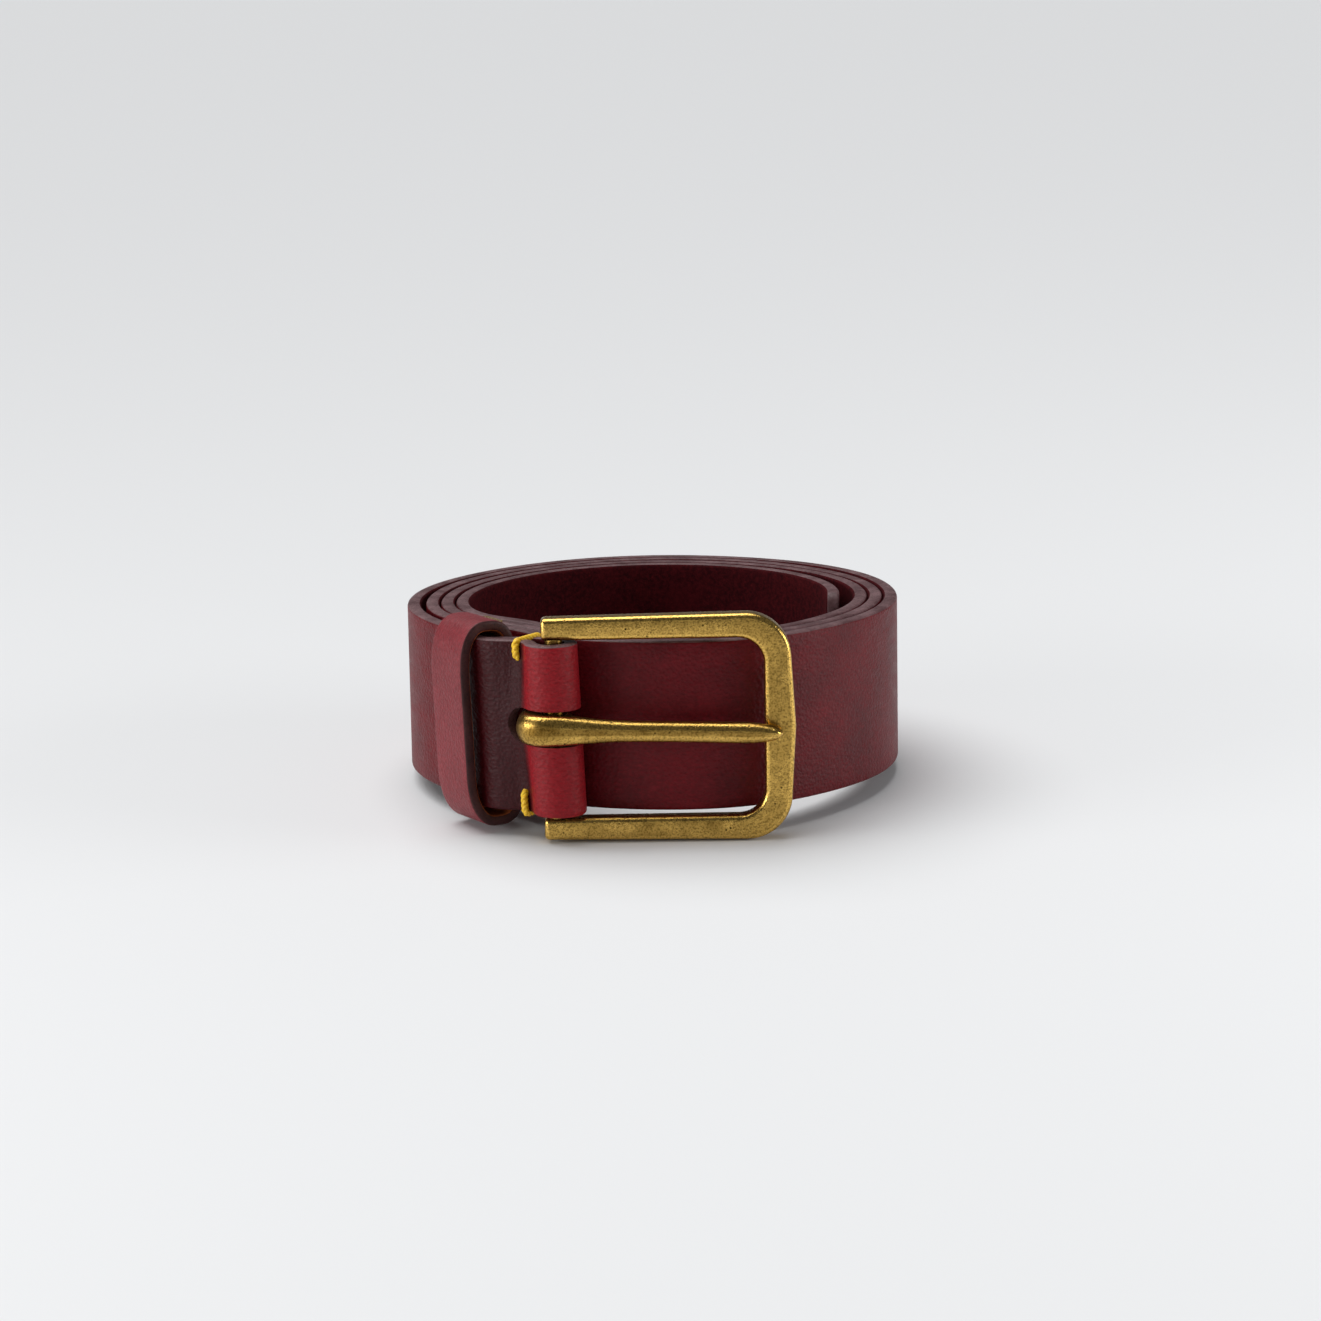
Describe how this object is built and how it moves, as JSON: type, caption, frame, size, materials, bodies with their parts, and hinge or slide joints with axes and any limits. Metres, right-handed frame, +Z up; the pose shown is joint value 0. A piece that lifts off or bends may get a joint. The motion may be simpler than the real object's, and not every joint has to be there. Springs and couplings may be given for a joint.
{
  "type": "leather belt",
  "caption": "Rolled-up burgundy leather belt standing on its edge, with an antique brass heel-bar buckle, prong, keeper loop and hand-sewn yellow thread tacks",
  "frame": {"origin": "centre of the bounding box's base, on the floor the belt stands on", "axes": "+X from the strap's fold towards the buckle's far bar, +Y from the buckle towards the back of the roll, +Z up"},
  "size_m": [0.1134, 0.1226, 0.0509],
  "materials": {
    "burgundy_leather": "vegetable-tanned bridle leather, waxed burgundy grain, burnished edges",
    "antique_brass": "cast brass, antiqued and relieved on the edges",
    "yellow_thread": "waxed twisted thread"
  },
  "bodies": {
    "belt": {"strap": "burgundy_leather", "upper_tack": "yellow_thread", "lower_tack": "yellow_thread"},
    "keeper_loop": {"keeper": "burgundy_leather", "keeper_stitch": "yellow_thread"},
    "frame": {"buckle_frame": "antique_brass"},
    "tongue": {"prong": "antique_brass"}
  },
  "joints": [
    {"name": "frame_swing", "type": "hinge", "parent": "belt", "child": "frame", "pos_m": [-0.02173, -0.05287, 0.02551], "axis": [0, -0.056, -0.9984], "range_deg": [0, 40]},
    {"name": "prong_swing", "type": "hinge", "parent": "frame", "child": "tongue", "pos_m": [-0.02173, -0.05287, 0.02551], "axis": [0, -0.056, -0.9984], "range_deg": [0, 45]},
    {"name": "keeper_slide", "type": "slide", "parent": "belt", "child": "keeper_loop", "axis": [-0.5299, 0.8467, -0.0475], "range_m": [0, 0.0025]}
  ]
}
